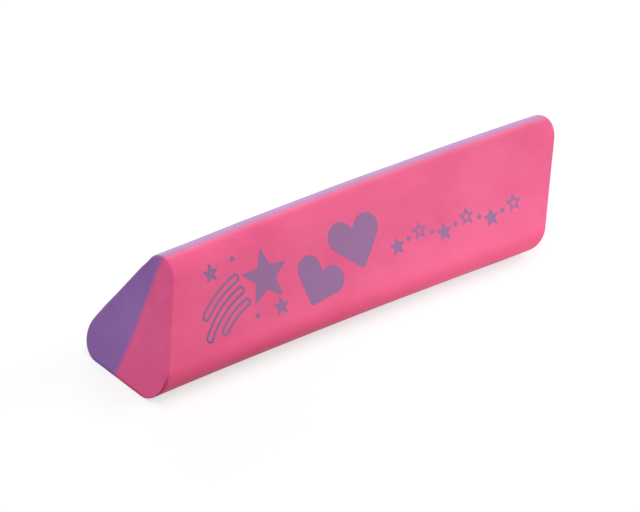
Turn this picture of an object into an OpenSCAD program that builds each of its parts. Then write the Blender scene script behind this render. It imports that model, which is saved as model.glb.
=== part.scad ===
// Two-tone triangular rubber eraser: a long bar with a rounded triangular section
// and slanted ends, pink in front of a lengthwise seam and lilac behind it, with
// hearts and stars printed on the pink face.
// Frame: X runs along the bar, Z is up and the pink face looks towards -Y.
// The origin is the middle of the overall box, at the level of the base.

/* [Bar] */
// Length at half height, from one slanted end to the other
length = 80; // [60:1:120]
// Height from the flat base to the top of the rounded ridge
height = 20; // [17:0.5:30]
// Width across the two rounded base corners
width = 20; // [16:0.5:30]
// Radius of the ridge and of both base corners
corner_r = 4; // [2:0.25:5]
// Lean of the left end away from square, in degrees
left_slant = 22; // [0:0.5:35]
// Lean of the right end away from square, in degrees
right_slant = 24.5; // [0:0.5:35]
// Distance of the colour seam behind the middle of the bar, at the ridge
seam_top = 0.2; // [0:0.1:1.5]
// Distance of the colour seam behind the middle of the bar, at the base
seam_base = 0.8; // [0:0.1:3]

/* [Print] */
// Thickness of the printed ink film
ink_t = 0.06; // [0.05:0.01:0.2]
// Tilt of the whole print against the bar, in degrees
print_tilt = -2.5; // [-4:0.5:4]
// Bare rubber between the left end and the star's longest trail
left_margin = 6.6; // [4:0.1:12]
// Bare rubber between the right end and the row of small stars
right_margin = 5; // [3:0.5:12]
// Bare rubber between neighbouring motifs
motif_gap = 1.4; // [1:0.1:5]

/* [Shooting star] */
// Tip radius of the large star
star_r = 4.8; // [3:0.1:5.6]
// Height of the large star above the middle of the face
star_rise = 1; // [0:0.1:2]
// Length of the middle trail behind the large star
trail_len = 10; // [6:0.5:13]
// Width of each outlined trail
trail_w = 1.6; // [1.2:0.1:2]
// Distance between neighbouring trails
trail_pitch = 2.3; // [2.1:0.1:3]
// Radius of the curve that the middle trail follows
trail_bend_r = 16; // [12:1:40]
// Width of the printed outlines
line_w = 0.45; // [0.3:0.05:0.55]

/* [Hearts] */
// Width of the small heart
small_heart_w = 9.7; // [6:0.1:11]
// Tilt of the small heart, in degrees
small_heart_tilt = -33; // [-45:1:45]
// Height of the small heart's lobes above the middle of the face
small_heart_rise = -1.6; // [-2:0.1:2]
// Width of the large heart
large_heart_w = 10.4; // [6:0.1:11.5]
// Tilt of the large heart, in degrees
large_heart_tilt = 3; // [-45:1:45]
// Height of the large heart's lobes above the middle of the face
large_heart_rise = 3.4; // [1:0.1:4.1]
// Distance along the bar from the small heart to the large one
heart_pitch = 7.8; // [6:0.1:12]
// Radius of the hearts' rounded tips
heart_tip_r = 0.6; // [0.2:0.1:1]

/* [Row of small stars] */
// Tip radius of the small stars
row_star_r = 1.7; // [1.2:0.1:2.5]
// Radius of the dots between them
dot_r = 0.45; // [0.3:0.05:0.8]
// Distance between neighbouring stars in the row
row_pitch = 4.9; // [4:0.1:9]
// Height of the wave that the row follows
row_wave = 1.4; // [0:0.1:2]
// Height of the row above the middle of the face
row_rise = -0.4; // [-2:0.1:2]

/* [Hidden] */
$fn = 96;

// Centres of the three corner circles: (+-base_x, corner_r) and (0, ridge_z).
base_x = width / 2 - corner_r;
ridge_z = height - corner_r;
// Lean of the pink face away from upright, and the middle of its flat part.
face_lean = atan2(base_x, ridge_z - corner_r);
face_mid_y = -base_x / 2 - corner_r * cos(face_lean);
face_mid_z = (corner_r + ridge_z) / 2 + corner_r * sin(face_lean);
// The left end meets the base at -half_span, the right end meets the ridge at half_span.
half_span = length / 2 + height / 4 * (tan(left_slant) + tan(right_slant));
// Where the ends cut the middle line of the face.
face_left = left_x(face_mid_z);
face_right = right_x(face_mid_z);

// Radius of a star's inner corners as a share of its tip radius.
star_inner_share = 0.45;
// Length of the outer two trails as a share of the middle one.
outer_trail_share = 0.75;
// Radius of a heart's lobes and height of the cleft between them, as shares of its width.
lobe_share = 0.24;
cleft_share = 0.065;
// Depth of the tip below the middle of the lobes, as a share of each heart's width,
// and how far the large heart's tip lies to the right, as a share of its width.
small_tip_share = 0.565;
large_tip_share = 0.615;
large_tip_shift = 0.06;
// How far a heart's straight sides run inside the rounds that they meet.
side_overlap = 0.005;
// Small stars and dots around the large star, from its middle, in its tip radii.
spark_stars = [[-2.2, 0.7], [0.45, -1.15]];
spark_dots = [[-1.2, 0.95], [-0.6, -1.2]];
// Places of the motifs along the face, each set off from its neighbour.
trail_start = arc_angle(star_r + line_w, trail_bend_r);
trail_end = trail_start + arc_angle(trail_len, trail_bend_r);
star_x = face_left + left_margin + trail_bend_r * sin(trail_end) + trail_w / 2;
small_heart_x = star_x + star_r + motif_gap + small_heart_w / 2;
large_heart_x = small_heart_x + heart_pitch;
row_left = large_heart_x + large_heart_w / 2 + motif_gap + row_star_r;
row_right = face_right - right_margin - row_star_r;
row_count = max(1, floor((row_right - row_left) / row_pitch + 1));

// How far cutting blocks and prisms reach past the bar.
spare = 5;
// Depth of rubber that the print's cutting prism spans below the face.
wrap_depth = 3;

// Place along the bar of the left end and of the right end, at the height z.
function left_x(z) = -half_span + z * tan(left_slant);
function right_x(z) = half_span - (height - z) * tan(right_slant);

// Angle in degrees that an arc of length len takes on a circle of radius r.
function arc_angle(len, r) = len / r * 180 / PI;

// Point on the front side (side = -1) or back side (side = 1) of the section, where
// a corner circle of radius r around (x, z) meets the straight side.
function tangent_point(x, z, r, side) = [x + side * r * cos(face_lean), z + r * sin(face_lean)];

// Rounded triangle in the Y-Z plane, with corner circles of radius r.
module section(r) {
    for (x = [-base_x, base_x]) translate([x, corner_r]) circle(r);
    translate([0, ridge_z]) circle(r);
    polygon([
        [-base_x, corner_r - r],
        [base_x, corner_r - r],
        tangent_point(base_x, corner_r, r, 1),
        tangent_point(0, ridge_z, r, 1),
        tangent_point(0, ridge_z, r, -1),
        tangent_point(-base_x, corner_r, r, -1)
    ]);
}

// Part of the section on one side of the seam: front (side = -1) or back (side = 1).
module section_half(side) {
    seam_lean = (seam_base - seam_top) / height;
    low_y = seam_base + spare * seam_lean;
    high_y = seam_top - spare * seam_lean;
    intersection() {
        section(corner_r);
        polygon([
            [low_y, -spare],
            [side * width, -spare],
            [side * width, height + spare],
            [high_y, height + spare]
        ]);
    }
}

// Runs a section along X over the whole bar and its slanted ends.
module along_bar() {
    rotate([90, 0, 90])
        linear_extrude(length + 2 * height, center = true) children();
}

// Everything between the two slanted cuts.
module between_cuts() {
    low = -spare;
    high = height + spare;
    rotate([90, 0, 0])
        linear_extrude(width + 2 * spare, center = true) polygon([
            [left_x(low), low],
            [right_x(low), low],
            [right_x(high), high],
            [left_x(high), high]
        ]);
}

module bar_half(side) {
    intersection() {
        along_bar() section_half(side);
        between_cuts();
    }
}

// Five-pointed star with a point upwards.
module star(r) {
    polygon([for (i = [0:9]) r * (i % 2 == 0 ? 1 : star_inner_share) * [sin(36 * i), cos(36 * i)]]);
}

// Star drawn as a line.
module star_outline(r) {
    difference() {
        star(r);
        star(r - 2 * line_w);
    }
}

// Direction in degrees of the line from p that touches the circle of radius r around c,
// on its left as seen from p (side = 1) or on its right (side = -1).
function touch_angle(p, c, r, side) =
    atan2(c[1] - p[1], c[0] - p[0]) + side * asin(r / norm(c - p));

// Point where that line touches the circle.
function touch_point(p, c, r, side) =
    p + sqrt(pow(norm(c - p), 2) - r * r) * toward(touch_angle(p, c, r, side));

// Step of length 1 in the direction angle, in degrees.
function toward(angle) = [cos(angle), sin(angle)];

// Heart of width w: two round lobes on the X axis, straight sides down to a rounded tip
// and short straight sides up to the cleft. The tip would lie depth below the lobes'
// middles and shift to the right of the cleft if it were sharp.
module heart(w, depth, shift) {
    lobe_r = lobe_share * w;
    right = [w / 2 - lobe_r, 0];
    left = -right;
    cleft = [0, cleft_share * w];
    tip = [shift, -depth];
    touch_r = lobe_r - side_overlap;
    right_angle = touch_angle(tip, right, touch_r, -1);
    left_angle = touch_angle(tip, left, touch_r, 1);
    half_angle = (left_angle - right_angle) / 2;
    side_start = heart_tip_r / tan(half_angle);
    for (c = [left, right]) translate(c) circle(lobe_r);
    translate(tip + heart_tip_r / sin(half_angle) * toward(right_angle + half_angle))
        circle(heart_tip_r + side_overlap);
    polygon([
        tip + side_start * toward(right_angle),
        touch_point(tip, right, touch_r, -1),
        right,
        touch_point(cleft, right, touch_r, 1),
        cleft,
        touch_point(cleft, left, touch_r, -1),
        left,
        touch_point(tip, left, touch_r, 1),
        tip + side_start * toward(left_angle)
    ]);
}

// Strip of width w along a circle of radius r, from angle a to angle b left of its top.
module curved_strip(r, a, b, w) {
    far = 2 * r;
    intersection() {
        difference() {
            circle(r + w / 2);
            circle(r - w / 2);
        }
        polygon([[0, 0], for (t = [a, (a + b) / 2, b]) far * [-sin(t), cos(t)]]);
    }
    for (t = [a, b]) translate(r * [-sin(t), cos(t)]) circle(w / 2);
}

// Outlined trail on a circle of radius r, of the given length.
module trail(r, len) {
    end = trail_start + arc_angle(len, trail_bend_r);
    difference() {
        curved_strip(r, trail_start, end, trail_w);
        curved_strip(r, trail_start, end, trail_w - 2 * line_w);
    }
}

// Large star with three curved trails, two small stars and two dots around it.
module shooting_star() {
    star(star_r);
    translate([0, -trail_bend_r]) {
        trail(trail_bend_r, trail_len);
        for (side = [-1, 1]) trail(trail_bend_r + side * trail_pitch, outer_trail_share * trail_len);
    }
    for (place = spark_stars) translate(star_r * place) star(row_star_r);
    for (place = spark_dots) translate(star_r * place) circle(dot_r);
}

// Small stars on a gentle wave, solid and outlined in turn, with a dot between each two.
module star_row() {
    for (i = [0:row_count - 1]) {
        up = (i % 2 == 0) ? -row_wave / 2 : row_wave / 2;
        translate([i * row_pitch, up])
            if (i % 2 == 0) star(row_star_r); else star_outline(row_star_r);
        if (i < row_count - 1) translate([(i + 0.5) * row_pitch, 0]) circle(dot_r);
    }
}

// The whole print, drawn flat around the middle of the face.
module artwork() {
    rotate(print_tilt) {
        translate([star_x, star_rise]) shooting_star();
        translate([small_heart_x, small_heart_rise]) rotate(small_heart_tilt)
            heart(small_heart_w, small_tip_share * small_heart_w, 0);
        translate([large_heart_x, large_heart_rise]) rotate(large_heart_tilt)
            heart(large_heart_w, large_tip_share * large_heart_w, large_tip_shift * large_heart_w);
        translate([row_left, row_rise]) star_row();
    }
}

// Puts a drawing on the pink face: its X along the bar, its Y up the face, its Z outwards.
module on_face() {
    translate([0, face_mid_y, face_mid_z]) rotate([90 - face_lean, 0, 0]) children();
}

module pink_half() {
    color([0.93, 0.38, 0.55]) bar_half(-1);
}

module lilac_half() {
    color([0.58, 0.42, 0.66]) bar_half(1);
}

// Ink film that lies on the pink rubber and follows its rounded corners.
module print_motifs() {
    color([0.59, 0.45, 0.63]) intersection() {
        on_face() translate([0, 0, -wrap_depth])
            linear_extrude(wrap_depth + spare) artwork();
        along_bar() difference() {
            section(corner_r + ink_t);
            section(corner_r);
        }
        between_cuts();
    }
}

pink_half();
lilac_half();
print_motifs();
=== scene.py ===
"""Two-tone triangular rubber eraser with printed hearts and stars, on a pale studio floor.

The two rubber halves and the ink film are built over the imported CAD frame: the same section,
length and slanted ends, with softened cut edges, the slight sideways bow of a moulded bar, a
crease and a few other small marks, and procedural rubber and ink materials. Everything is in
metres, in the frame of the CAD: x runs along the bar, y from front to back and z up.
"""

import math
from collections import namedtuple

import bmesh
import bpy
from mathutils import Matrix, Vector, noise


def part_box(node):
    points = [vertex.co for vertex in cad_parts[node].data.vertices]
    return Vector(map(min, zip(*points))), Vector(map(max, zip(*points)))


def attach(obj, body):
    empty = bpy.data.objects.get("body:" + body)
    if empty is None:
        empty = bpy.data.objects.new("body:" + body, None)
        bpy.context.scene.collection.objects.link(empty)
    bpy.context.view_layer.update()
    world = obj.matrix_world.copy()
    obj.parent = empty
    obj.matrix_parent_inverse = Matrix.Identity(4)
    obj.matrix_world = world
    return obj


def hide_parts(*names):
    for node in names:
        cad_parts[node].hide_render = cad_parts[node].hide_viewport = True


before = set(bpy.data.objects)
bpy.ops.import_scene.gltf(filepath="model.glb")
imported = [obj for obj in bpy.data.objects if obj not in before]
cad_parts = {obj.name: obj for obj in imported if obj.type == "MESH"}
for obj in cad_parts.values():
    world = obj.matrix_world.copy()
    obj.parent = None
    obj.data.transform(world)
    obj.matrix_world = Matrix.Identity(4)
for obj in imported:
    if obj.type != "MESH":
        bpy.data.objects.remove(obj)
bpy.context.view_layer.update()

MM = 0.001
FRONT = -1                     # the pink half
BACK = 1                       # the lilac half

# ---- The bar, as the CAD has it -------------------------------------------------------------
pink_low, pink_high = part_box("pink_half")
lilac_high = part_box("lilac_half")[1]
HEIGHT = pink_high.z
WIDTH = lilac_high.y - pink_low.y
CORNER_R = 4 * MM              # ridge and both base corners
SEAM_TOP = 0.2 * MM            # the colour seam lies this far behind the middle at the ridge
SEAM_BASE = 0.8 * MM           # and this far at the base
LEFT_SLOPE = math.tan(math.radians(22))      # lean of the two slanted ends
RIGHT_SLOPE = math.tan(math.radians(24.5))
BASE_Y = WIDTH / 2 - CORNER_R  # centres of the rounded corners
RIDGE_Z = HEIGHT - CORNER_R
FACE_LEAN = math.atan2(BASE_Y, RIDGE_Z - CORNER_R)
NORMAL_FROM_UP = math.pi / 2 - FACE_LEAN     # angle from upright to the normal of a long side


def left_x(z):
    """Where the exact left end is at a height."""
    return pink_low.x + LEFT_SLOPE * z


def right_x(z):
    """Where the exact right end is at a height."""
    return pink_high.x - RIGHT_SLOPE * (HEIGHT - z)


HALF_LENGTH = (right_x(HEIGHT / 2) - left_x(HEIGHT / 2)) / 2

# ---- What the real bar adds to it -----------------------------------------------------------
EDGE_R = 0.55 * MM             # softened edges of the cut ends
BASE_EDGE_R = 0.18 * MM        # and where they stand on the base, which stayed sharper
LEFT_PROUD = 0.20 * MM         # the softened ends reach this much past the exact cuts
RIGHT_PROUD = 0.35 * MM
BOW = 0.8 * MM                 # sideways bow over the whole length
UNEVEN = 0.05 * MM             # soft unevenness of the moulded surface
UNEVEN_SCALE = 14 * MM
UNEVEN_PLACES = ((3.1, 7.7, 1.3), (11.9, 2.4, 8.6), (5.3, 17.2, 21.8))   # where noise is read
FLAT_BASE = 2.5 * MM           # the unevenness fades out towards the base within this height
SEAM_BULGE = 0.38 * MM         # the seam bulges forward this far, about a third of the way up
BULGE_FACTOR = 27 / 4          # makes the largest value of share * (1 - share) ** 2 equal 1
INK_SUNK = 0.035 * MM          # how far the film is pressed into the rubber
SMEAR = 0.48 * MM              # the two colours smear into each other this far at the seam

# The crease that the cutting blade left behind the front's low cut edge on the left.
CREASE_DEPTH = 0.26 * MM
CREASE_START = 0.06 * MM       # its deepest line is this far behind the softened edge
CREASE_WIDTH = 0.36 * MM
CREASE_BEGINS = 1.5 * MM       # it begins this far in front of the seam
CREASE_FORMED = 5 * MM         # and is full depth from here on
CREASE_FULL = 3.4 * MM         # it is full depth up to this height
CREASE_TOP = 6.0 * MM          # and fades out up to this one

# Painted shade round the same cut edge: in the crease, on the rounding beside it and along the edge
# above the nick.
PAINTED_SHADE = "painted_shade"                # point attribute of the mesh: 1 where the painted shade is darkest
ROUNDING_SHADE = 0.8           # share of it on the rounding beside the crease
EDGE_SHADE = 0.38              # share of it along the edge between the ridge and the nick
NICK_Z = 17.8 * MM             # height of the small nick in the edge, near the ridge
NICK_REACH = 0.3 * MM

# Small departures from the even form, in millimetres: where each is, how far it reaches along
# the three axes, and how far it pushes the surface there.
MARKS = (
    ((-37.0, -3.72, 17.8), (0.55, 0.28, 0.28), (0.056, 0.125, -0.083)),   # the nick
    ((-35.0, 2.0, 19.5), (5.0, 1.5, 1.2), (0.0, 0.05, 0.13)),             # higher ridge at the left
    ((-37.0, 3.4, 18.0), (4.0, 1.0, 1.0), (0.0, -0.12, -0.09)),           # flatter shoulder there
    ((-40.0, 8.4, 8.0), (5.0, 3.0, 3.0), (0.0, 0.09, 0.045)),             # fuller back there
    ((-7.0, -9.0, 1.5), (22.0, 3.0, 3.0), (0.0, -0.12, 0.0)),             # fuller low front
    ((38.0, -9.0, 1.5), (6.0, 3.0, 3.0), (0.0, 0.12, 0.10)),              # flatter at its right
)

# ---- How finely the halves are cut into faces -----------------------------------------------
RIDGE_STEPS = 20               # round the ridge, from the seam to the long side
FACE_STEPS = 26                # down the long side
CORNER_STEPS = 16              # round the base corner
BASE_STEPS = 10                # along the base to the seam
SEAM_STEPS = 20                # up the seam, inside the bar
BAR_STEPS = 80                 # along the bar
EDGE_STEPS = 7                 # round each cut edge
CUT_STEPS = EDGE_STEPS // 2    # as many of them look like the cut end, the others like the side
END_LOOPS = (0.96, 0.85, 0.65, 0.45, 0.22)   # loops on each end's face, as shares of its rim

# Order of the two materials on each half.
SKIN = 0
CUT = 1


def smooth_share(value, low, high):
    """Smooth step from 0 at low to 1 at high."""
    t = min(1.0, max(0.0, (value - low) / (high - low)))
    return t * t * (3 - 2 * t)


def real_form(p):
    """Where a point of the straight, exact bar is on the real, slightly bowed and uneven one."""
    bowed = BOW * (0.5 - (p.x / HALF_LENGTH) ** 2)
    # noise.noise has no random start, unlike noise.noise_vector, so every run gives the same bar.
    uneven = Vector([noise.noise(p / UNEVEN_SCALE + Vector(place)) for place in UNEVEN_PLACES])
    return p + Vector((0, bowed, 0)) + uneven * (UNEVEN * smooth_share(p.z, 0.0, FLAT_BASE))


def marked(p):
    """The same point, pushed where it lies near one of the small marks."""
    moved = p.copy()
    for middle, reach, push in MARKS:
        away = p / MM - Vector(middle)
        far = sum((away[i] / reach[i]) ** 2 for i in range(3))
        moved += Vector(push) * (MM * math.exp(-far))
    return moved


def corner_arc(side, centre_y, centre_z, start, end, steps):
    """Points and normals round a corner of the section, between two angles from upright."""
    line = []
    for i in range(steps + 1):
        a = start + (end - start) * i / steps
        ny = side * math.sin(a)
        nz = math.cos(a)
        line.append((centre_y + CORNER_R * ny, centre_z + CORNER_R * nz, ny, nz))
    return line


def outer_line(side):
    """Points and outward normals of the section from the ridge seam to the base seam.

    side is FRONT or BACK. Each entry is (y, z, normal y, normal z).
    """
    seam_angle = side * math.asin(SEAM_TOP / CORNER_R)
    line = corner_arc(side, 0.0, RIDGE_Z, seam_angle, NORMAL_FROM_UP, RIDGE_STEPS)
    corner = corner_arc(side, side * BASE_Y, CORNER_R, NORMAL_FROM_UP, math.pi, CORNER_STEPS)
    ny, nz = side * math.cos(FACE_LEAN), math.sin(FACE_LEAN)
    top_y, top_z = CORNER_R * ny, RIDGE_Z + CORNER_R * nz
    low_y, low_z = side * BASE_Y + CORNER_R * ny, CORNER_R + CORNER_R * nz
    for i in range(1, FACE_STEPS):
        t = i / FACE_STEPS
        line.append((top_y + (low_y - top_y) * t, top_z + (low_z - top_z) * t, ny, nz))
    line += corner
    for i in range(1, BASE_STEPS + 1):
        y = side * BASE_Y + (SEAM_BASE - side * BASE_Y) * i / BASE_STEPS
        line.append((y, 0.0, 0.0, -1.0))
    return line


def edge_radius(nz):
    """Radius of the softened cut edge where the section's outward normal has this upward part."""
    t = min(1.0, (nz + 1) / (math.sin(FACE_LEAN) + 1))
    return BASE_EDGE_R + (EDGE_R - BASE_EDGE_R) * t ** 3


def seam_bulge(z):
    """How far the seam lies in front of the straight line from its top to its base."""
    share = z / HEIGHT
    return SEAM_BULGE * BULGE_FACTOR * share * (1 - share) ** 2


def crease_depth(y, z):
    """Depth of the crease at a point of the front's section."""
    from_seam = smooth_share(SEAM_BASE - y, CREASE_BEGINS, CREASE_FORMED)
    return CREASE_DEPTH * from_seam * smooth_share(-z, -CREASE_TOP, -CREASE_FULL)


def section_loop(side, inset, creased=False):
    """Closed loop of (y, z, edge radius) of one half, drawn in by inset edge radii all round."""
    outer = []
    for y, z, ny, nz in outer_line(side):
        r = edge_radius(nz)
        depth = inset * r
        if creased:
            depth += crease_depth(y, z)
        outer.append((y - ny * depth, z - nz * depth, r))
    seam = []
    for i in range(1, SEAM_STEPS):
        t = i / SEAM_STEPS
        y, z, r = (a + (b - a) * t for a, b in zip(outer[-1], outer[0]))
        seam.append((y - seam_bulge(z), z, r))
    return outer + seam


# A ring of points round one half: its share of the way from the left to the right end, its
# distance from there in edge radii and in metres, its inset in edge radii, and whether it is
# the crease's deepest line.
Ring = namedtuple("Ring", "share radii beyond inset creased")


def bar_rings(side):
    """The rings of one half, from the left end's face to the right one's."""
    rounding = []
    for step in range(EDGE_STEPS + 1):
        a = math.pi / 2 * step / EDGE_STEPS
        rounding.append((1 - math.cos(a), 1 - math.sin(a)))
    rings = [Ring(0.0, radii, 0.0, inset, False) for radii, inset in rounding]
    rings.append(Ring(0.0, 1.0, CREASE_START, 0.0, side == FRONT))
    rings.append(Ring(0.0, 1.0, CREASE_WIDTH, 0.0, False))
    rings += [Ring(i / BAR_STEPS, 0.0, 0.0, 0.0, False) for i in range(1, BAR_STEPS)]
    rings.append(Ring(1.0, -1.0, -CREASE_WIDTH, 0.0, False))
    rings += [Ring(1.0, -radii, 0.0, inset, False) for radii, inset in reversed(rounding)]
    return rings


def add_ring(bm, share, radii, beyond, loop):
    """Adds the points of a loop at one place along the bar, on the real form."""
    points = []
    for y, z, r in loop:
        low = left_x(z) - LEFT_PROUD
        high = right_x(z) + RIGHT_PROUD
        x = low + (high - low) * share + radii * r + beyond
        points.append(bm.verts.new(marked(real_form(Vector((x, y, z))))))
    return points


def join_rings(bm, ring, following, material):
    """Adds the band of faces between two rings of points."""
    count = len(ring)
    for i in range(count):
        j = (i + 1) % count
        face = bm.faces.new((ring[i], ring[j], following[j], following[i]))
        face.material_index = material


def close_end(bm, edge_ring, share, rim):
    """Adds the face of one end, from its softened edge in to the middle."""
    count = len(rim)
    middle_y = sum(y for y, z, r in rim) / count
    middle_z = sum(z for y, z, r in rim) / count
    previous = edge_ring
    for part in END_LOOPS:
        loop = [
            (middle_y + (y - middle_y) * part, middle_z + (z - middle_z) * part, r)
            for y, z, r in rim
        ]
        ring = add_ring(bm, share, 0.0, 0.0, loop)
        join_rings(bm, previous, ring, CUT)
        previous = ring
    centre = add_ring(bm, share, 0.0, 0.0, [(middle_y, middle_z, 0.0)])[0]
    for i in range(count):
        face = bm.faces.new((previous[i], previous[(i + 1) % count], centre))
        face.material_index = CUT


def add_painted_shade(rings, painted_shade):
    """Painted shade in the crease, on the rounding beside it and along the edge above the nick."""
    line = outer_line(FRONT)
    crease_ring = EDGE_STEPS + 1
    for number in range(CUT_STEPS, crease_ring + 1):
        most = 1.0 if number == crease_ring else ROUNDING_SHADE
        for point, (y, z, ny, nz) in zip(rings[number], line):
            point[painted_shade] = most * crease_depth(y, z) / CREASE_DEPTH
    for point, (y, z, ny, nz) in zip(rings[CUT_STEPS], line):
        point[painted_shade] += EDGE_SHADE * smooth_share(z, NICK_Z - NICK_REACH, NICK_Z)


def linked_object(name, bm):
    """Turns a finished bmesh into an object of the scene."""
    mesh = bpy.data.meshes.new(name)
    bm.to_mesh(mesh)
    bm.free()
    piece = bpy.data.objects.new(name, mesh)
    bpy.context.scene.collection.objects.link(piece)
    return piece


def build_half(name, side):
    """One rubber half: rings along the bar, softened cut edges and closed ends."""
    bm = bmesh.new()
    painted_shade = bm.verts.layers.float.new(PAINTED_SHADE)
    rings = []
    for ring in bar_rings(side):
        loop = section_loop(side, ring.inset, ring.creased)
        rings.append(add_ring(bm, ring.share, ring.radii, ring.beyond, loop))
    # The front gets painted shade round its left cut edge.
    if side == FRONT:
        add_painted_shade(rings, painted_shade)
    bands = list(zip(rings, rings[1:]))
    for number, (ring, following) in enumerate(bands):
        at_cut = number < CUT_STEPS or number >= len(bands) - CUT_STEPS
        join_rings(bm, ring, following, CUT if at_cut else SKIN)
    rim = section_loop(side, 1.0)
    close_end(bm, rings[0], 0.0, rim)
    close_end(bm, rings[-1], 1.0, rim)

    bmesh.ops.recalc_face_normals(bm, faces=bm.faces)
    for face in bm.faces:
        face.smooth = True
    # The half is sharp along the seam and where the seam meets the two ends.
    count = len(rim)
    base_seam = len(outer_line(side)) - 1
    for ring, following in bands:
        for i in (0, base_seam):
            bm.edges.get((ring[i], following[i])).smooth = False
    for ring in (rings[0], rings[-1]):
        for i in range(base_seam, count):
            bm.edges.get((ring[i], ring[(i + 1) % count])).smooth = False
    return linked_object(name, bm)


def section_normal(y, z):
    """Outward direction of the front of the section at a point near its surface."""
    along_face = Vector((-math.sin(FACE_LEAN), -math.cos(FACE_LEAN)))
    place = Vector((y, z - RIDGE_Z)).dot(along_face)
    if place < 0:
        return Vector((y, z - RIDGE_Z)).normalized()
    face_length = math.hypot(BASE_Y, RIDGE_Z - CORNER_R)
    if place > face_length:
        return Vector((y + BASE_Y, z - CORNER_R)).normalized()
    return Vector((-math.cos(FACE_LEAN), math.sin(FACE_LEAN)))


# The ink film's mesh.
INK_PITCH = 1.0 * MM           # it is cut this finely along the bar and up it
INK_MERGE = 0.002 * MM         # points closer than this are one
INK_FLAT = math.radians(0.5)   # faces that differ less than this are one
INK_ON_CUT = 0.0005 * MM       # points this close to a cut lie on it
INK_SLIVER = 0.003 * MM        # edges and faces thinner than this are removed


def build_ink(name):
    """The printed film: the CAD film cut finely enough to follow the real rubber below it."""
    bm = bmesh.new()
    bm.from_mesh(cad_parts["print_motifs"].data)
    bmesh.ops.remove_doubles(bm, verts=bm.verts, dist=INK_MERGE)
    bmesh.ops.dissolve_limit(bm, angle_limit=INK_FLAT, verts=bm.verts, edges=bm.edges)
    low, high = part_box("print_motifs")
    along, upward = Vector((1, 0, 0)), Vector((0, 0, 1))
    for axis, first, last in ((along, low.x, high.x), (upward, low.z, high.z)):
        for i in range(1, int((last - first) / INK_PITCH) + 1):
            bmesh.ops.bisect_plane(
                bm,
                geom=bm.verts[:] + bm.edges[:] + bm.faces[:],
                plane_co=axis * (first + i * INK_PITCH),
                plane_no=axis,
                dist=INK_ON_CUT,
            )
    bmesh.ops.triangulate(bm, faces=bm.faces, quad_method="BEAUTY", ngon_method="BEAUTY")
    bmesh.ops.dissolve_degenerate(bm, dist=INK_SLIVER, edges=bm.edges)
    for point in bm.verts:
        normal = section_normal(point.co.y, point.co.z)
        outward = Vector((0, normal.x, normal.y))
        point.co = marked(real_form(point.co - outward * INK_SUNK))
    bmesh.ops.recalc_face_normals(bm, faces=bm.faces)
    return linked_object(name, bm)


# ---- Materials ------------------------------------------------------------------------------
def srgb(r, g, b):
    """Linear colour of an sRGB one, given as 0 to 255."""
    def linear(v):
        v = v / 255
        return v / 12.92 if v <= 0.04045 else ((v + 0.055) / 1.055) ** 2.4
    return (linear(r), linear(g), linear(b), 1.0)


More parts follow.
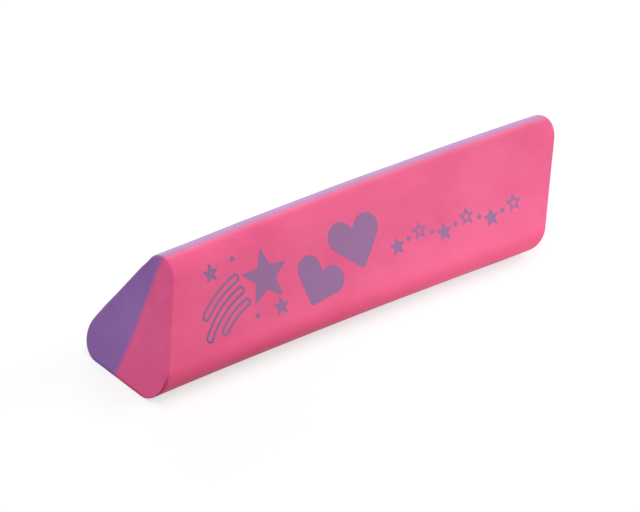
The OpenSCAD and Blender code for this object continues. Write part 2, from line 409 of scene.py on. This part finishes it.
class Nodes:
    """Small helper that adds and links shader nodes of one material."""

    def __init__(self, name):
        self.material = bpy.data.materials.new(name)
        self.material.use_nodes = True
        self.tree = self.material.node_tree
        self.tree.nodes.clear()

    def add(self, kind, **settings):
        node = self.tree.nodes.new(kind)
        for key, value in settings.items():
            setattr(node, key, value)
        return node

    def link(self, source, target):
        self.tree.links.new(source, target)

    def place(self):
        """Object coordinates, which are the CAD frame in metres."""
        return self.add("ShaderNodeTexCoord").outputs["Object"]

    def part(self, place, axis):
        """One of the coordinates of a place."""
        parts = self.add("ShaderNodeSeparateXYZ")
        self.link(place, parts.inputs["Vector"])
        return parts.outputs[axis]

    def value(self, attribute):
        """A number that the mesh keeps at its points."""
        return self.add("ShaderNodeAttribute", attribute_name=attribute).outputs["Fac"]

    def noise(self, place, scale, detail, roughness=0.55, stretch=(1, 1, 1)):
        """Noise from 0 to 1; scale is in features per metre, stretched along the axes."""
        mapping = self.add("ShaderNodeMapping")
        mapping.inputs["Scale"].default_value = [scale / s for s in stretch]
        self.link(place, mapping.inputs["Vector"])
        node = self.add("ShaderNodeTexNoise")
        node.inputs["Scale"].default_value = 1.0
        node.inputs["Detail"].default_value = detail
        node.inputs["Roughness"].default_value = roughness
        self.link(mapping.outputs["Vector"], node.inputs["Vector"])
        return node.outputs["Fac"]

    def math(self, operation, a, b):
        """Arithmetic; a and b are numbers or other nodes' outputs."""
        node = self.add("ShaderNodeMath", operation=operation)
        for target, value in zip(node.inputs, (a, b)):
            if isinstance(value, float):
                target.default_value = value
            else:
                self.link(value, target)
        return node.outputs["Value"]

    def behind_seam(self, place):
        """Distance behind the colour seam in millimetres, on the bowed bar."""
        x, y, z = (self.part(place, axis) for axis in "XYZ")
        share = self.math("DIVIDE", x, HALF_LENGTH)
        bow = self.math("MULTIPLY", self.math("MULTIPLY", share, share), BOW)
        lean = self.math("MULTIPLY", z, (SEAM_BASE - SEAM_TOP) / HEIGHT)
        up = self.math("DIVIDE", z, HEIGHT)
        down = self.math("SUBTRACT", 1.0, up)
        hump = self.math("MULTIPLY", self.math("MULTIPLY", down, down), up)
        bulge = self.math("MULTIPLY", hump, BULGE_FACTOR * SEAM_BULGE)
        offset = self.math("ADD", self.math("ADD", y, bow), self.math("ADD", lean, bulge))
        return self.math("DIVIDE", self.math("SUBTRACT", offset, SEAM_BASE + BOW / 2), MM)

    def ramp(self, value, low, high, a=0.0, b=1.0):
        """Maps low..high to a..b, held at both ends."""
        node = self.add("ShaderNodeMapRange", clamp=True)
        node.inputs["From Min"].default_value = low
        node.inputs["From Max"].default_value = high
        node.inputs["To Min"].default_value = a
        node.inputs["To Max"].default_value = b
        self.link(value, node.inputs["Value"])
        return node.outputs["Result"]

    def mix(self, factor, a, b, blend_type="MIX"):
        """Colour between a and b; each is a colour or another node's output."""
        node = self.add("ShaderNodeMix", data_type="RGBA", blend_type=blend_type)
        if factor is None:
            node.inputs["Factor"].default_value = 1.0
        else:
            self.link(factor, node.inputs["Factor"])
        for slot_name, value in (("A", a), ("B", b)):
            target = [s for s in node.inputs if s.name == slot_name and s.type == "RGBA"][0]
            if isinstance(value, tuple):
                target.default_value = value
            else:
                self.link(value, target)
        return [s for s in node.outputs if s.type == "RGBA"][0]

    def bump(self, height, depth, strength, before=None):
        """Relief of a noise, depth metres from low to high, on top of the one before."""
        node = self.add("ShaderNodeBump")
        node.inputs["Strength"].default_value = strength
        node.inputs["Distance"].default_value = depth
        self.link(height, node.inputs["Height"])
        if before is not None:
            self.link(before, node.inputs["Normal"])
        return node.outputs["Normal"]

    def shader(self, colour, roughness, normal):
        """The material itself, with a soft satin finish."""
        surface = self.add("ShaderNodeBsdfPrincipled")
        surface.inputs["Specular IOR Level"].default_value = 0.225
        surface.inputs["IOR"].default_value = 1.5
        surface.inputs["Sheen Weight"].default_value = 0.09
        surface.inputs["Sheen Roughness"].default_value = 0.5
        self.link(colour, surface.inputs["Base Color"])
        self.link(roughness, surface.inputs["Roughness"])
        self.link(normal, surface.inputs["Normal"])
        output = self.add("ShaderNodeOutputMaterial")
        self.link(surface.outputs["BSDF"], output.inputs["Surface"])
        return self.material


# Patterns in the rubber and the ink, in features per metre.
CLOUDS = 110                   # cloudy colour and slight waves of the rubber
DRAW_LINES = 900               # faint lines along the bar, from its mould
SPECKLE = 3200
RAGGED = 700                   # how ragged the smear at the seam is
FINE_GRAIN = 5200
INK_CLOUDS = 260
INK_SCREEN = 5200
# Relief of those that have one.
CLOUD_RELIEF = 0.10 * MM
DRAW_RELIEF = 0.012 * MM
GRAIN_RELIEF = 0.010 * MM
INK_RELIEF = 0.008 * MM

# Bands of the rubber's colour: painted shading towards the base, painted sheen along the bar, and
# painted shade on the low rim and round the cut edge.
LOW_SHADING_TOP = 7.5 * MM             # the painted shading of the low colour starts at this height
LOW_SHADING_FULL = 3.5 * MM            # and is at its fullest below this one
LOW_SHADING_SHARE = 0.6
SHEEN_LEFT = -30 * MM          # the painted sheen's tint drifts along the bar from here
SHEEN_RIGHT = 22 * MM          # to here
RIM_SHADE_LEFT = -22 * MM            # the painted shadow on the low rim is darkest to the left of this place
RIM_SHADE_RIGHT = 18 * MM            # and without painted shadow to the right of this one
RIM_SHADE_FULL = 0.3                 # and darkest below this share of its height
SHADE_SHARE = 0.85             # how much of the painted shade's colour shows at most
SMEAR_SHARE = 0.45             # how much of the other colour shows right at the seam


def rubber(name, deep, body, pale, low, other, side, shade_colour, rough, grain, rim_shade_top, rim_shade_share,
           sheen_tints=None):
    """Soft coloured rubber: cloudy colour, fine speckle, satin grain and faint draw lines.

    It varies from the deep over the body to the pale colour, and turns to the low colour
    towards the base, a painted shading that makes the lower band deeper in tone. The other
    colour smears into it at the seam; side is FRONT or BACK. shade_colour is the colour of
    the painted shade in the crease and along the cut edge, and of the painted contact shadow
    on the low rim, which is rim_shade_top high and takes at most rim_shade_share of it. rough
    is the range of roughness, and grain the strength of the relief. sheen_tints is the pair
    of tints at the left and the right between which the colour drifts along the bar, a
    painted sheen that is paler towards the right. The noises lie mostly between 0.3 and 0.7,
    which is why the ramps start and end about there.
    """
    n = Nodes(name)
    place = n.place()
    clouds = n.noise(place, CLOUDS, detail=4, stretch=(1.6, 1, 1))
    speckle = n.noise(place, SPECKLE, detail=2, roughness=0.7)
    draw = n.noise(place, DRAW_LINES, detail=2, stretch=(14, 1, 1))
    colour = n.mix(n.ramp(clouds, 0.34, 0.66), deep, pale)
    colour = n.mix(n.ramp(clouds, 0.2, 0.8, 0.15, 0.40), colour, body)
    colour = n.mix(n.ramp(speckle, 0.60, 0.78, 0.0, 0.50), colour, pale)
    colour = n.mix(n.ramp(speckle, 0.40, 0.22, 0.0, 0.50), colour, deep)
    # Painted shading: towards the base the colour turns to the low colour, deeper in tone.
    colour = n.mix(n.ramp(n.part(place, "Z"), LOW_SHADING_TOP, LOW_SHADING_FULL, 0.0, LOW_SHADING_SHARE), colour, low)
    # Painted sheen: along the bar the colour drifts from redder at the left to paler at the right.
    if sheen_tints:
        sheen_tint = n.mix(n.ramp(n.part(place, "X"), SHEEN_LEFT, SHEEN_RIGHT), *sheen_tints)
        colour = n.mix(None, colour, sheen_tint, blend_type="MULTIPLY")
    # Painted shade in the crease, on the rounding beside it and along the cut edge above the nick.
    colour = n.mix(n.ramp(n.value(PAINTED_SHADE), 0.0, 1.0, 0.0, SHADE_SHARE), colour, shade_colour)
    # Painted contact shadow on the low rim, darkest to the left.
    low_rim_shade = n.ramp(n.part(place, "Z"), rim_shade_top, RIM_SHADE_FULL * rim_shade_top)
    rim_shade = n.ramp(n.part(place, "X"), RIM_SHADE_RIGHT, RIM_SHADE_LEFT, 0.0, rim_shade_share)
    colour = n.mix(n.math("MULTIPLY", low_rim_shade, rim_shade), colour, shade_colour)
    ragged = n.ramp(n.noise(place, RAGGED, detail=3), 0.3, 0.7, -0.06, 0.06)
    depth = n.math("ADD", n.math("MULTIPLY", n.behind_seam(place), float(side)), ragged)
    colour = n.mix(n.ramp(depth, 0.0, SMEAR / MM, SMEAR_SHARE, 0.0), colour, other)
    fine = n.noise(place, FINE_GRAIN, detail=2, roughness=0.6)
    normal = n.bump(draw, DRAW_RELIEF, 0.5 * grain)
    normal = n.bump(clouds, CLOUD_RELIEF, 0.5 * grain, normal)
    normal = n.bump(fine, GRAIN_RELIEF, 0.7 * grain, normal)
    roughness = n.ramp(speckle, 0.3, 0.7, *rough)
    return n.shader(colour, roughness, normal)


def ink(name, body, thin):
    """Matte printed ink that lets a little of the rubber's colour through."""
    n = Nodes(name)
    place = n.place()
    clouds = n.noise(place, INK_CLOUDS, detail=4)
    screen = n.noise(place, INK_SCREEN, detail=3, roughness=0.7)
    colour = n.mix(n.ramp(clouds, 0.3, 0.7, 0.0, 0.35), body, thin)
    colour = n.mix(n.ramp(screen, 0.56, 0.74, 0.0, 0.5), colour, thin)
    normal = n.bump(screen, INK_RELIEF, 0.6)
    roughness = n.ramp(screen, 0.3, 0.7, 0.48, 0.6)
    return n.shader(colour, roughness, normal)


# ---- The object -----------------------------------------------------------------------------
PINK = srgb(222, 80, 129)
PINK_CUT = srgb(213, 81, 133)
# The pink's painted shade, for the crease, the cut edge and the low rim.
PINK_SHADE = srgb(140, 12, 42)
PINK_SHEEN_TINTS = ((1.045, 1.0, 1.0, 1.0), (0.937, 1.085, 0.963, 1.0))   # painted sheen: redder left, paler right
LILAC = srgb(144, 88, 149)
LILAC_CUT = srgb(133, 92, 159)
# The lilac's painted shade, for its low rim.
LILAC_SHADE = srgb(66, 38, 82)
# Roughness and relief of each surface, and how high and how dark the painted shadow on its low rim
# is.
SKIN_FINISH_AND_SHADE = dict(rough=(0.50, 0.60), grain=1.0, rim_shade_top=4.2 * MM, rim_shade_share=0.45)
CUT_FINISH_AND_SHADE = dict(rough=(0.58, 0.70), grain=1.6, rim_shade_top=0.5 * MM, rim_shade_share=0.7)

# The low colours below are painted shading of the lower band.
pink_skin = rubber("pink_rubber_skin", deep=srgb(215, 73, 122), body=PINK, pale=srgb(229, 91, 138),
                   low=srgb(239, 75, 125), other=LILAC, side=FRONT, shade_colour=PINK_SHADE,
                   sheen_tints=PINK_SHEEN_TINTS, **SKIN_FINISH_AND_SHADE)
pink_cut = rubber("pink_rubber_cut", deep=srgb(206, 75, 126), body=PINK_CUT, pale=srgb(220, 92, 142),
                  low=PINK_CUT, other=LILAC, side=FRONT, shade_colour=PINK_SHADE, **CUT_FINISH_AND_SHADE)
lilac_skin = rubber("lilac_rubber_skin", deep=srgb(140, 84, 145), body=LILAC, pale=srgb(149, 94, 154),
                    low=srgb(141, 83, 145), other=PINK, side=BACK, shade_colour=LILAC_SHADE, **SKIN_FINISH_AND_SHADE)
lilac_cut = rubber("lilac_rubber_cut", deep=srgb(126, 85, 152), body=LILAC_CUT,
                   pale=srgb(142, 102, 168), low=LILAC_CUT, other=PINK, side=BACK,
                   shade_colour=LILAC_SHADE, **CUT_FINISH_AND_SHADE)
lilac_print = ink("lilac_print", body=srgb(134, 96, 142), thin=srgb(156, 93, 137))

pink_piece = build_half("pink_rubber", FRONT)
pink_piece.data.materials.append(pink_skin)
pink_piece.data.materials.append(pink_cut)
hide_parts("pink_half")
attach(pink_piece, "root")

lilac_piece = build_half("lilac_rubber", BACK)
lilac_piece.data.materials.append(lilac_skin)
lilac_piece.data.materials.append(lilac_cut)
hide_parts("lilac_half")
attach(lilac_piece, "root")

ink_piece = build_ink("printed_ink")
ink_piece.data.materials.append(lilac_print)
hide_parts("print_motifs")
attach(ink_piece, "root")

# ---- Floor, light and camera ----------------------------------------------------------------
FLOOR_GAP = 0.03 * MM          # keeps the floor from sharing the plane of the base
FLOOR_RADIUS = 1.2
FLOOR_LIT = (0.44, 0.44, 0.44, 1)    # the floor's colour for light that it throws back
FLOOR_SEEN = (0.34, 0.34, 0.34, 1)   # and for the camera, which also sees the glow
FLOOR_GLOW = 0.65


def background_rays(tree):
    """1 for the rays that see the background: camera, glossy and transmission rays."""
    rays = tree.nodes.new("ShaderNodeLightPath")
    value = rays.outputs["Is Camera Ray"]
    for kind in ("Is Glossy Ray", "Is Transmission Ray"):
        either = tree.nodes.new("ShaderNodeMath")
        either.operation = "MAXIMUM"
        tree.links.new(value, either.inputs[0])
        tree.links.new(rays.outputs[kind], either.inputs[1])
        value = either.outputs["Value"]
    return value


def floor_material():
    """Matte and pale, with a glow for the background's rays alone, so that it shows white."""
    n = Nodes("pale_floor")
    matte = n.add("ShaderNodeBsdfDiffuse")
    n.link(n.mix(background_rays(n.tree), FLOOR_LIT, FLOOR_SEEN), matte.inputs["Color"])
    glow = n.add("ShaderNodeEmission")
    glow.inputs["Strength"].default_value = FLOOR_GLOW
    none = n.add("ShaderNodeEmission")
    none.inputs["Strength"].default_value = 0.0
    choice = n.add("ShaderNodeMixShader")
    n.link(background_rays(n.tree), choice.inputs["Fac"])
    n.link(none.outputs["Emission"], choice.inputs[1])
    n.link(glow.outputs["Emission"], choice.inputs[2])
    total = n.add("ShaderNodeAddShader")
    n.link(matte.outputs["BSDF"], total.inputs[0])
    n.link(choice.outputs["Shader"], total.inputs[1])
    output = n.add("ShaderNodeOutputMaterial")
    n.link(total.outputs["Shader"], output.inputs["Surface"])
    return n.material


def pale_floor():
    """A round floor that shows white to the camera and keeps the object's soft shadow."""
    bm = bmesh.new()
    bmesh.ops.create_circle(bm, cap_ends=True, radius=FLOOR_RADIUS, segments=96)
    bmesh.ops.translate(bm, vec=(0, 0, -FLOOR_GAP), verts=bm.verts)
    floor = linked_object("floor", bm)
    floor.data.materials.append(floor_material())


def softbox(name, place, aim, width, depth, watts):
    """Rectangular soft light at place, turned towards aim."""
    lamp = bpy.data.lights.new(name, "AREA")
    lamp.shape = "RECTANGLE"
    lamp.size = width
    lamp.size_y = depth
    lamp.energy = watts
    holder = bpy.data.objects.new(name, lamp)
    bpy.context.scene.collection.objects.link(holder)
    holder.location = place
    holder.rotation_euler = (Vector(aim) - Vector(place)).to_track_quat("-Z", "Y").to_euler()
    holder.visible_camera = False


def studio_world(light, seen):
    """Even white surroundings: light for the object, seen for the camera."""
    world = bpy.data.worlds.new("studio")
    bpy.context.scene.world = world
    world.use_nodes = True
    tree = world.node_tree
    tree.nodes.clear()
    dim = tree.nodes.new("ShaderNodeBackground")
    dim.inputs["Strength"].default_value = light
    white = tree.nodes.new("ShaderNodeBackground")
    white.inputs["Strength"].default_value = seen
    choice = tree.nodes.new("ShaderNodeMixShader")
    output = tree.nodes.new("ShaderNodeOutputWorld")
    for background in (dim, white):
        background.inputs["Color"].default_value = (1, 1, 1, 1)
    tree.links.new(background_rays(tree), choice.inputs["Fac"])
    tree.links.new(dim.outputs["Background"], choice.inputs[1])
    tree.links.new(white.outputs["Background"], choice.inputs[2])
    tree.links.new(choice.outputs["Shader"], output.inputs["Surface"])


# The lamps as (name, place, what it is turned towards, width, depth, watts).
MIDDLE = (0, 0, HEIGHT / 2)
RIGHT_PART = (0.03, 0, HEIGHT / 2)
LOW_RIGHT = (0.03, -0.005, 0.005)
LAMPS = (
    ("top_light", (0, 0, 0.80), MIDDLE, 0.9, 0.9, 4.4),
    ("back_light", (0, 0.65, 0.55), MIDDLE, 0.6, 0.5, 0.9),
    ("back_right_light", (0.50, 0.75, 0.30), MIDDLE, 0.5, 0.4, 5.3),
    ("right_light", (0.50, -0.10, 0.20), MIDDLE, 0.4, 0.3, 2.0),
    ("left_light", (-0.70, -0.10, 0.30), MIDDLE, 0.5, 0.4, 2.8),
    ("front_right_light", (0.35, -0.42, 0.22), RIGHT_PART, 0.35, 0.35, 0.41),
    ("low_light", (0.16, -0.18, 0.04), RIGHT_PART, 0.14, 0.07, 0.113),
    ("low_card", (0.03, -0.05, 0.008), LOW_RIGHT, 0.06, 0.014, 0.007),
)

pale_floor()
studio_world(light=0.02, seen=1.0)
for lamp_settings in LAMPS:
    softbox(*lamp_settings)

# The camera's place around the object, as the photograph has it.
AZIMUTH = math.radians(-41.772)
ELEVATION = math.radians(32.634)
ROLL = math.radians(4.937)
DISTANCE = 1.347
AIM = Vector((-0.00163, 0.00113, 0.00763))
LENS = 462.93                  # millimetres, on a sensor of this width
SENSOR_WIDTH = 36.0

camera_data = bpy.data.cameras.new("camera")
camera_data.lens = LENS
camera_data.sensor_width = SENSOR_WIDTH
camera = bpy.data.objects.new("camera", camera_data)
bpy.context.scene.collection.objects.link(camera)
outward = Vector((
    math.sin(AZIMUTH) * math.cos(ELEVATION),
    -math.cos(AZIMUTH) * math.cos(ELEVATION),
    math.sin(ELEVATION),
))
look = (-outward).to_track_quat("-Z", "Y").to_matrix()
camera.matrix_world = (
    Matrix.Translation(AIM + outward * DISTANCE)
    @ look.to_4x4()
    @ Matrix.Rotation(ROLL, 4, "Z")
)
bpy.context.scene.camera = camera
bpy.context.scene.view_settings.view_transform = "Standard"

bpy.context.view_layer.update()
